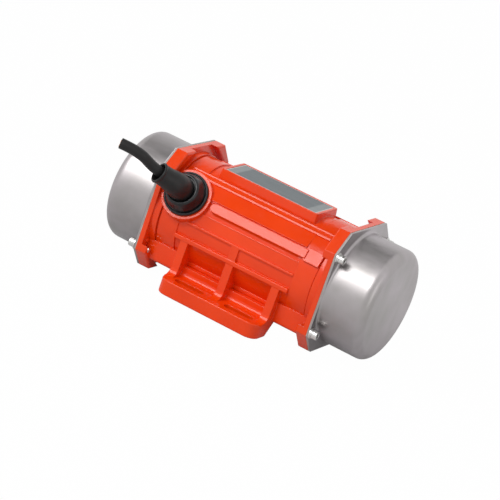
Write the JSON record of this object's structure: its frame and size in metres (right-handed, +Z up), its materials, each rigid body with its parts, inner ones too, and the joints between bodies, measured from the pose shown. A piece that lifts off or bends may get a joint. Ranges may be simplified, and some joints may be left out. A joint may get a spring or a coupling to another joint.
{
  "type": "vibration motor",
  "caption": "Small rotary vibration motor: finned cast housing on slotted feet, steel end caps over turning half-disc weights, bare plate on top, angled cable gland with bent boot.",
  "frame": {"origin": "centre of the four foot slots, on the floor under the feet", "axes": "+X along the shaft, -Y towards the cable side, +Z up"},
  "size_m": [0.228, 0.1518, 0.1052],
  "materials": {
    "paint": "gloss powder coat",
    "cap_steel": "satin, pickled",
    "screw_steel": "bright zinc",
    "gasket_rubber": "matte grey",
    "gland_nylon": "satin",
    "boot_rubber": "satin",
    "cord_rubber": "satin",
    "plate_metal": "satin grey",
    "core_steel": "laminated",
    "copper": "varnished copper wire",
    "cast_aluminium": "as cast",
    "bearing_steel": "ground",
    "shaft_steel": "ground",
    "weight_steel": "flame cut and oiled"
  },
  "bodies": {
    "frame": {"housing": "paint", "end_cap_left": "cap_steel", "end_cap_right": "cap_steel", "cap_gasket_left": "gasket_rubber", "cap_gasket_right": "gasket_rubber", "cap_screws_left": "screw_steel", "cap_screws_right": "screw_steel", "cap_washers_left": "screw_steel", "cap_washers_right": "screw_steel", "nameplate": "plate_metal", "gland_body": "gland_nylon", "gland_seal": "gasket_rubber", "gland_nut": "gland_nylon", "cable_boot": "boot_rubber", "power_cord": "cord_rubber", "stator_core": "core_steel", "stator_winding": "copper", "end_shield_left": "cast_aluminium", "end_shield_right": "cast_aluminium", "tie_bolts": "screw_steel", "tie_nuts": "screw_steel", "bearing_outer_ring_left": "bearing_steel", "bearing_outer_ring_right": "bearing_steel"},
    "rotor": {"rotor_core": "core_steel", "rotor_cage": "cast_aluminium", "shaft": "shaft_steel", "bearing_inner_ring_left": "bearing_steel", "bearing_inner_ring_right": "bearing_steel", "spacer_sleeve_left": "shaft_steel", "spacer_sleeve_right": "shaft_steel", "fixed_weight_left": "weight_steel", "fixed_weight_right": "weight_steel", "weight_key_left": "shaft_steel", "weight_key_right": "shaft_steel", "nut_washer_left": "screw_steel", "nut_washer_right": "screw_steel", "shaft_nut_left": "screw_steel", "shaft_nut_right": "screw_steel"},
    "ball_set_left": {"ball_cage_left": "bearing_steel"},
    "ball_set_right": {"ball_cage_right": "bearing_steel"},
    "weight_left": {"adjustable_weight_left": "weight_steel", "clamp_screw_left": "screw_steel"},
    "weight_right": {"adjustable_weight_right": "weight_steel", "clamp_screw_right": "screw_steel"}
  },
  "joints": [
    {"name": "rotor_spin", "type": "hinge", "parent": "frame", "child": "rotor", "pos_m": [0, 0, 0.05], "axis": [1, 0, 0], "continuous": true},
    {"name": "ball_left_spin", "type": "hinge", "parent": "frame", "child": "ball_set_left", "pos_m": [0, 0, 0.05], "axis": [1, 0, 0], "continuous": true},
    {"name": "ball_right_spin", "type": "hinge", "parent": "frame", "child": "ball_set_right", "pos_m": [0, 0, 0.05], "axis": [1, 0, 0], "continuous": true},
    {"name": "weight_left_set", "type": "hinge", "parent": "rotor", "child": "weight_left", "pos_m": [-0.095, 0, 0.05], "axis": [1, 0, 0], "range_deg": [0, 180]},
    {"name": "weight_right_set", "type": "hinge", "parent": "rotor", "child": "weight_right", "pos_m": [0.095, 0, 0.05], "axis": [1, 0, 0], "range_deg": [0, 180]}
  ],
  "couplings": [
    {"joint": "ball_left_spin", "follows": "rotor_spin", "ratio": 0.38},
    {"joint": "ball_right_spin", "follows": "rotor_spin", "ratio": 0.38}
  ]
}
